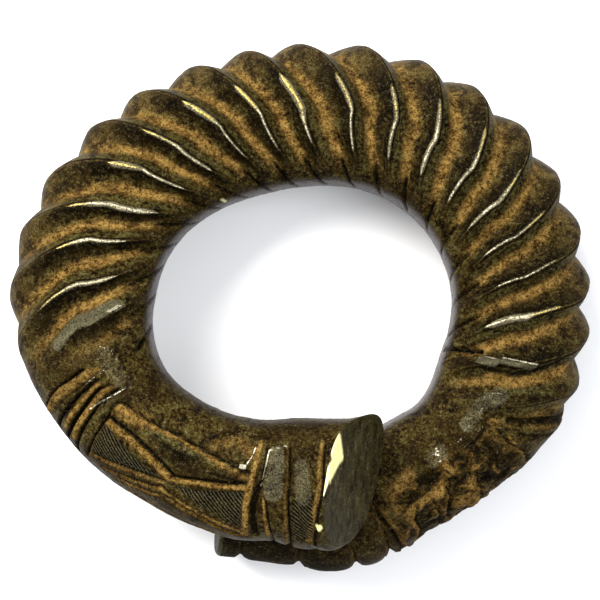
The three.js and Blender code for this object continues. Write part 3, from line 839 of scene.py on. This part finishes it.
class Shader:
    """A short way to build a node tree: each call adds a node, sets its inputs and gives its output."""

    def __init__(self, name):
        self.material = bpy.data.materials.new(name)
        self.material.use_nodes = True
        self.nodes = self.material.node_tree.nodes
        self.links = self.material.node_tree.links
        self.nodes.clear()

    def add(self, kind, inputs=None, output=0, **settings):
        """Any node, with each input linked to a node's output or set to a constant."""
        node = self.nodes.new(kind)
        for key, value in settings.items():
            setattr(node, key, value)
        for key, value in (inputs or {}).items():
            if isinstance(value, bpy.types.NodeSocket):
                self.links.new(value, node.inputs[key])
            else:
                node.inputs[key].default_value = value
        return node.outputs[output] if node.outputs else None

    def noise(self, coordinates, scale, detail, roughness, distortion=0.0):
        inputs = {"Vector": coordinates, "Scale": scale, "Detail": detail}
        inputs.update({"Roughness": roughness, "Distortion": distortion})
        return self.add("ShaderNodeTexNoise", inputs)

    def mark(self, name):
        """A value that make_mesh has set on the points."""
        return self.add("ShaderNodeAttribute", attribute_name=name, output="Fac")

    def math(self, operation, first, second=0.0, third=0.0):
        return self.add("ShaderNodeMath", {0: first, 1: second, 2: third}, operation=operation)

    def times(self, first, second, plus=None):
        """A product, with a third value added where one is given."""
        if plus is None:
            return self.math("MULTIPLY", first, second)
        return self.math("MULTIPLY_ADD", first, second, plus)

    def larger(self, first, second):
        return self.math("MAXIMUM", first, second)

    def step(self, value, start, end, low=0.0, high=1.0):
        """Low before start and high after end, with an S-shaped step."""
        inputs = {"Value": value, "From Min": start, "From Max": end, "To Min": low, "To Max": high}
        return self.add("ShaderNodeMapRange", inputs, interpolation_type="SMOOTHSTEP")

    def between(self, value, start, full, fading, gone):
        """1 from full to fading and 0 outside start and gone."""
        return self.times(self.step(value, start, full), self.step(value, fading, gone, 1.0, 0.0))

    def mix(self, share, first, second):
        """Two colours mixed, each a node's output or three numbers."""
        inputs = {0: share}
        for key, colour in ((6, first), (7, second)):
            inputs[key] = (*colour, 1) if isinstance(colour, tuple) else colour
        return self.add("ShaderNodeMix", inputs, output=2, data_type="RGBA")

    def blend(self, share, first, second):
        return self.add("ShaderNodeMix", {0: share, 2: first, 3: second}, data_type="FLOAT")

    def ramp(self, value, stops):
        """A colour that changes with a value, through stops of (value, colour)."""
        node = self.nodes.new("ShaderNodeValToRGB")
        self.links.new(value, node.inputs[0])
        elements = node.color_ramp.elements
        while len(elements) < len(stops):
            elements.new(0.5)
        for element, (place, colour) in zip(elements, stops):
            element.position = place
            element.color = (*colour, 1.0)
        return node.outputs[0]


# Finishes of the ring, as linear colours
# Dark patina, also the colour of the painted shade after each crest
PATINA_AND_SHADE_BLACK = (0.0025, 0.0017, 0.0007)
PATINA_BROWN = (0.019, 0.011, 0.0025)
PATINA_OLIVE = (0.048, 0.032, 0.0065)
PATINA_GREEN = (0.080, 0.071, 0.023)
EARTH_DARK = (0.075, 0.037, 0.0075)
EARTH_LIGHT = (0.280, 0.166, 0.042)
BRASS_DULL = (0.22, 0.19, 0.11)
BRASS_PALE = (0.62, 0.57, 0.42)
BRASS_YELLOW = (0.62, 0.46, 0.09)
BRASS_FRESH = (1.0, 0.92, 0.42)
WALL_GREY = (0.11, 0.098, 0.098)
WORN_GREY = (0.110, 0.100, 0.058)
FACE_OLIVE = (0.034, 0.030, 0.013)
# Colour of the painted shade and shadows, and of the tiny dark specks
SHADOW_AND_SPECK_BROWN = (0.002, 0.0013, 0.0005)
# Painted light on the outer lobes
LOBE_PAINTED_LIGHT = (0.125, 0.082, 0.026)
PATINA_GLOSS = 0.012


# Noises of the finish: scale, detail, roughness, distortion
BROAD = (95, 3, 0.6)
BLOTCH = (300, 5, 0.65, 0.4)
GRAIN = (1250, 4, 0.7)
FINE = (3300, 3, 0.7)
STREAKS = (1.0, 4, 0.6)
SCRATCHES = (260, 6, 0.7)
CRUSTY = (430, 6, 0.75, 1.0)

# Colours that follow a noise, from its lows to its highs
PATINA_TONES = [(0.55, PATINA_AND_SHADE_BLACK), (0.62, PATINA_BROWN), (0.69, PATINA_OLIVE), (0.79, PATINA_GREEN)]
FACE_TONES = [(0.40, PATINA_AND_SHADE_BLACK), (0.47, FACE_OLIVE), (0.56, FACE_OLIVE), (0.66, WORN_GREY)]
CRUST_TONES = [
    (0.42, PATINA_AND_SHADE_BLACK), (0.49, PATINA_BROWN), (0.54, PATINA_OLIVE), (0.60, EARTH_DARK),
    (0.70, EARTH_LIGHT)]
EARTH_TONES = [(0.44, EARTH_DARK), (0.68, EARTH_LIGHT)]

# Where the layers lie on the way from one crest to the next
SHADE_FADES = (0.06, 0.40)
EARTH_BAND = (0.32, 0.54, 0.57, 0.76)
GREEN_EDGE = (0.70, 0.80, 0.86, 0.92)
SHADOW_LINE = 0.93


def shared_inputs(tree):
    """The noises and marks that several layers of the finish read."""
    place = tree.add("ShaderNodeTexCoord", output="Object")
    base = SimpleNamespace(place=place)
    base.broad = tree.noise(place, *BROAD)
    base.blotch = tree.noise(place, *BLOTCH)
    base.grain = tree.noise(place, *GRAIN)
    base.fine = tree.noise(place, *FINE)
    base.speck = tree.times(base.fine, 0.6, tree.times(base.grain, 0.5))
    for name in ("phase", "section", "wall", "face", "fluted", "outside", "bare"):
        setattr(base, name, tree.mark(name))
    flow = tree.add("ShaderNodeCombineXYZ", {
        "X": tree.times(base.phase, 9.0),
        "Y": tree.times(base.section, 0.05),
    })
    base.streaks = tree.noise(flow, *STREAKS)
    return base


def ground_colour(tree, base):
    """Dark patina in blotches of brown, olive and green, streaked along the flutes. Over it the
    polished wall, the dressed faces, and the broken shoulder mottled from black to earth."""
    tone = tree.times(base.grain, 0.55, tree.times(base.blotch, 0.5))
    tone = tree.times(base.streaks, 0.25, tone)
    ruddy = tree.step(base.broad, 0.50, 0.62, 0.0, 0.6)
    colour = tree.mix(ruddy, tree.ramp(tone, PATINA_TONES), PATINA_BROWN)
    colour = tree.mix(tree.times(base.wall, 0.85), colour, WALL_GREY)
    stretched = tree.add("ShaderNodeMapping", {
        "Vector": base.place, "Rotation": (0.0, 0.0, -0.35), "Scale": (3.5, 1.0, 2.0)})
    scratches = tree.noise(stretched, *SCRATCHES)
    colour = tree.mix(tree.times(base.face, 0.6), colour, tree.ramp(scratches, FACE_TONES))
    crust = tree.ramp(tree.noise(base.place, *CRUSTY), CRUST_TONES)
    return tree.mix(tree.times(tree.mark("crust"), 0.95), colour, crust)


def add_flutes(tree, base, colour):
    """Across a flute: painted light on the lobes outside, painted shade after the crest and a
    green edge. Gives the colour and the wavering share of the way past the crest."""
    wobble = tree.times(base.blotch, 0.16, -0.08)
    wobble = tree.times(base.streaks, 0.10, tree.math("ADD", wobble, -0.05))
    past = tree.math("FRACT", tree.math("ADD", base.phase, wobble))
    # Painted light: the outer lobes lighter in patches
    lobe = tree.times(base.outside, tree.step(base.blotch, 0.42, 0.60, 0.1, 0.6))
    colour = tree.mix(tree.times(lobe, base.fluted), colour, LOBE_PAINTED_LIGHT)
    # Painted shade after each crest, weaker on the lobes outside
    shade = tree.step(past, *SHADE_FADES, 0.9, 0.0)
    shade = tree.blend(base.outside, shade, tree.times(shade, 0.35))
    colour = tree.mix(tree.times(shade, base.fluted), colour, PATINA_AND_SHADE_BLACK)
    broken = tree.times(base.fluted, tree.step(base.grain, 0.42, 0.62, 0.0, 0.65))
    edge = tree.times(tree.between(past, *GREEN_EDGE), broken)
    green = tree.times(tree.mark("green"), tree.step(base.grain, 0.40, 0.62, 0.1, 0.85))
    return tree.mix(tree.larger(edge, green), colour, PATINA_GREEN), past


def add_earth(tree, base, past, colour):
    """Ochre earth where it is marked and along the middle of the flutes, patchy, and fainter
    outside. Gives the colour and the earth's share."""
    tone = tree.times(base.grain, 0.6, tree.times(base.blotch, 0.5))
    patchy = tree.times(base.blotch, 0.7, tree.times(base.streaks, 0.5))
    patchy = tree.step(patchy, 0.46, 0.62, 0.7, 1.0)
    band = tree.times(tree.times(tree.between(past, *EARTH_BAND), patchy), base.fluted)
    faded = tree.step(tree.times(base.grain, 0.5, base.blotch), 0.62, 0.92, 0.15, 0.75)
    band = tree.times(band, tree.blend(base.outside, 1.0, faded))
    share = tree.larger(band, tree.times(tree.mark("earth"), 0.95))
    speckled = tree.times(base.fine, 0.5, tree.times(base.grain, 0.5))
    share = tree.times(share, tree.step(speckled, 0.36, 0.56, 0.3, 1.0))
    return tree.mix(share, colour, tree.ramp(tone, EARTH_TONES)), share


def add_clefts(tree, base, colour):
    """Fine cuts with painted shade in them between lighter edges, the marked painted shadows, and a
    painted shadow line before each crest. Gives the colour and the share of the painted shade."""
    cuts = tree.times(tree.mark("count"), 2 * math.pi)
    cuts = tree.math("COSINE", tree.times(base.grain, 5.0, cuts))
    hatched = tree.mark("hatched")
    # Painted shade down in the fine cuts
    cut_dark = tree.times(hatched, tree.step(cuts, -0.55, 0.4, 0.3, 1.0))
    cut_edge = tree.times(hatched, tree.step(cuts, -0.95, -0.3, 0.6, 0.0))
    colour = tree.mix(cut_edge, colour, WORN_GREY)
    # A painted shadow line just before each crest
    sharp_past = tree.times(base.grain, 0.03, tree.math("ADD", base.phase, -0.015))
    line = tree.math("SUBTRACT", tree.math("FRACT", sharp_past), SHADOW_LINE)
    line = tree.step(tree.math("ABSOLUTE", line), 0.015, 0.045, 0.9, 0.0)
    line = tree.times(tree.times(line, base.fluted), tree.step(base.section, 40, 75))
    dark = tree.larger(tree.mark("shadow"), tree.larger(cut_dark, line))
    return tree.mix(dark, colour, SHADOW_AND_SPECK_BROWN), dark


def add_wear(tree, base, colour):
    """Worn grey, a dull sheen on both sides of the bare crest lines, the lines themselves, silver
    spots and fresh brass. Gives the colour and the shares of grey, sheen and bare metal."""
    grey = tree.times(base.blotch, 1.2, tree.mark("grey"))
    grey = tree.step(tree.times(base.speck, 0.9, grey), 1.42, 2.15, 0.0, 0.75)
    colour = tree.mix(grey, colour, WORN_GREY)

    off_crest = tree.math("FRACT", tree.math("ADD", base.phase, 0.5))
    off_crest = tree.math("ABSOLUTE", tree.math("SUBTRACT", off_crest, 0.5))
    worn = tree.step(base.bare, 0.0, 0.012)
    sheen = tree.math("SUBTRACT", tree.times(base.bare, 2.6), off_crest)
    sheen = tree.times(base.speck, 0.05, sheen)
    sheen = tree.times(tree.step(sheen, 0.018, 0.07, 0.0, 0.7), worn)
    colour = tree.mix(sheen, colour, BRASS_DULL)

    width = tree.times(base.bare, tree.step(base.blotch, 0.36, 0.6, 0.35, 1.25))
    bare = tree.times(base.speck, 0.04, tree.math("SUBTRACT", width, off_crest))
    bare = tree.times(tree.step(bare, 0.018, 0.034), worn)
    bare = tree.times(bare, tree.step(base.fine, 0.34, 0.54, 0.25, 1.0))
    metal = tree.mix(tree.mark("gold"), BRASS_PALE, BRASS_YELLOW)
    metal = tree.mix(tree.step(base.speck, 0.50, 0.64, 0.85, 0.0), metal, BRASS_DULL)
    colour = tree.mix(bare, colour, metal)
    silver = tree.step(tree.times(base.speck, 1.5, tree.mark("silver")), 1.50, 1.85)
    colour = tree.mix(tree.times(silver, 0.85), colour, BRASS_PALE)
    fresh = tree.mark("brass")
    colour = tree.mix(fresh, colour, BRASS_FRESH)
    return colour, grey, sheen, tree.larger(tree.larger(bare, silver), fresh)


def add_specks(tree, base, earth, bare, colour):
    """Tiny light and dark specks all over, the dark ones fainter on earth and none on bare metal."""
    light = tree.step(base.speck, 0.60, 0.72, 0.0, 0.5)
    colour = tree.mix(light, colour, WORN_GREY)
    dark = tree.step(base.fine, 0.40, 0.54, 0.8, 0.0)
    dark = tree.blend(earth, dark, tree.times(dark, 0.45))
    dark = tree.blend(bare, dark, 0.0)
    return tree.mix(dark, colour, SHADOW_AND_SPECK_BROWN)


def patinated_brass():
    """The ring's finish: layers of colour one over another, each broken up by noise, with each
    layer's own metal share and roughness."""
    tree = Shader("patinated brass")
    base = shared_inputs(tree)
    colour = ground_colour(tree, base)
    colour, past = add_flutes(tree, base, colour)
    colour, earth = add_earth(tree, base, past, colour)
    colour, dark = add_clefts(tree, base, colour)
    colour, grey, sheen, bare = add_wear(tree, base, colour)
    colour = add_specks(tree, base, earth, bare, colour)

    metallic = tree.blend(base.wall, 0.08, 0.7)
    for share, metal in ((grey, 0.45), (earth, 0.0), (dark, 0.0), (sheen, 0.5), (bare, 0.7)):
        metallic = tree.blend(share, metallic, metal)
    roughness = tree.step(base.grain, 0.3, 0.7, 0.28, 0.52)
    roughness = tree.blend(base.wall, roughness, 0.36)
    for share, rough in ((earth, 0.85), (dark, 0.8), (bare, 0.3)):
        roughness = tree.blend(share, roughness, rough)

    height = tree.times(base.blotch, 1.2, base.grain)
    strength = tree.blend(base.face, 0.7, 0.2)
    bump = tree.add("ShaderNodeBump", {"Strength": strength, "Distance": 0.0003, "Height": height})
    bump = tree.add("ShaderNodeBump", {
        "Strength": 0.4, "Distance": 0.0001, "Height": base.fine, "Normal": bump})
    surface = tree.add("ShaderNodeBsdfPrincipled", {
        "Base Color": colour, "Metallic": metallic, "Roughness": roughness, "Normal": bump,
        "Specular IOR Level": PATINA_GLOSS,
    })
    tree.add("ShaderNodeOutputMaterial", {"Surface": surface})
    return tree.material


LIGHTS = [  # name, place, size, power, colour
    ("key", (-0.55, 0.60, 0.80), 0.7, 30, (1.0, 0.98, 0.94)),
    ("fill", (0.75, -0.10, 0.90), 0.8, 9, (0.94, 0.97, 1.0)),
]


def make_floor():
    """A wide pale sheet under the ring."""
    half = 3.0
    corners = [(-half, -half, 0), (half, -half, 0), (half, half, 0), (-half, half, 0)]
    mesh = bpy.data.meshes.new("floor")
    mesh.from_pydata(corners, [], [(0, 1, 2, 3)])
    floor = bpy.data.objects.new("floor", mesh)
    scene.collection.objects.link(floor)
    tree = Shader("pale floor")
    surface = tree.add("ShaderNodeBsdfPrincipled", {"Base Color": (0.91, 0.91, 0.92, 1), "Roughness": 0.9})
    tree.add("ShaderNodeOutputMaterial", {"Surface": surface})
    mesh.materials.append(tree.material)


def make_lights():
    """Soft studio light: a large light over the far left, a fill on the right and a pale sky."""
    for name, place, size, power, colour in LIGHTS:
        data = bpy.data.lights.new(name, "AREA")
        data.size = size
        data.energy = power
        data.color = colour
        light = bpy.data.objects.new(name, data)
        light.location = place
        light.rotation_mode = "QUATERNION"
        light.rotation_quaternion = (Vector((0, 0, 0.02)) - Vector(place)).to_track_quat("-Z", "Y")
        scene.collection.objects.link(light)
    world = bpy.data.worlds.new("pale sky")
    world.use_nodes = True
    background = world.node_tree.nodes["Background"]
    background.inputs["Color"].default_value = (0.98, 0.985, 1.0, 1)
    background.inputs["Strength"].default_value = 0.82
    scene.world = world
    scene.view_settings.view_transform = "Standard"
    scene.view_settings.look = "None"


# The camera, as read from the photograph's frame
PICTURE_WIDTH = 600
PIXEL = 0.2226  # millimetres to a pixel at the bar's middle height
BAR_MIDDLE_HEIGHT = 14.0
CAMERA_HEIGHT = 500.0
HOLE_PIXEL = (302, 300)
FOOT_PIXEL = (300, 345)  # the point straight under the camera
SENSOR_WIDTH = 36


def make_camera(hole):
    """A camera over its foot point, turned to the point that the picture's middle shows, with the
    lens that makes a pixel its size at the bar's middle height."""
    def ground(pixel):
        return Vector((
            hole[0] + (pixel[0] - HOLE_PIXEL[0]) * PIXEL,
            hole[1] - (pixel[1] - HOLE_PIXEL[1]) * PIXEL,
            BAR_MIDDLE_HEIGHT,
        )) * MM

    foot = ground(FOOT_PIXEL)
    place = Vector((foot.x, foot.y, CAMERA_HEIGHT * MM))
    target = ground((PICTURE_WIDTH / 2, PICTURE_WIDTH / 2))
    data = bpy.data.cameras.new("camera")
    data.sensor_width = SENSOR_WIDTH
    data.lens = SENSOR_WIDTH * (target - place).length / (PICTURE_WIDTH * PIXEL * MM)
    camera = bpy.data.objects.new("camera", data)
    camera.location = place
    camera.rotation_mode = "QUATERNION"
    camera.rotation_quaternion = (target - place).to_track_quat("-Z", "Y")
    scene.collection.objects.link(camera)
    scene.camera = camera


points, quads, triangles, marks = build_ring()
points, hole_place = fit_to_frame(points)
make_camera(hole_place)
make_floor()
make_lights()

ring_money = make_mesh("ring_money", points, quads, triangles, marks)
ring_money.data.materials.append(patinated_brass())
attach(ring_money, "root")
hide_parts("ring")
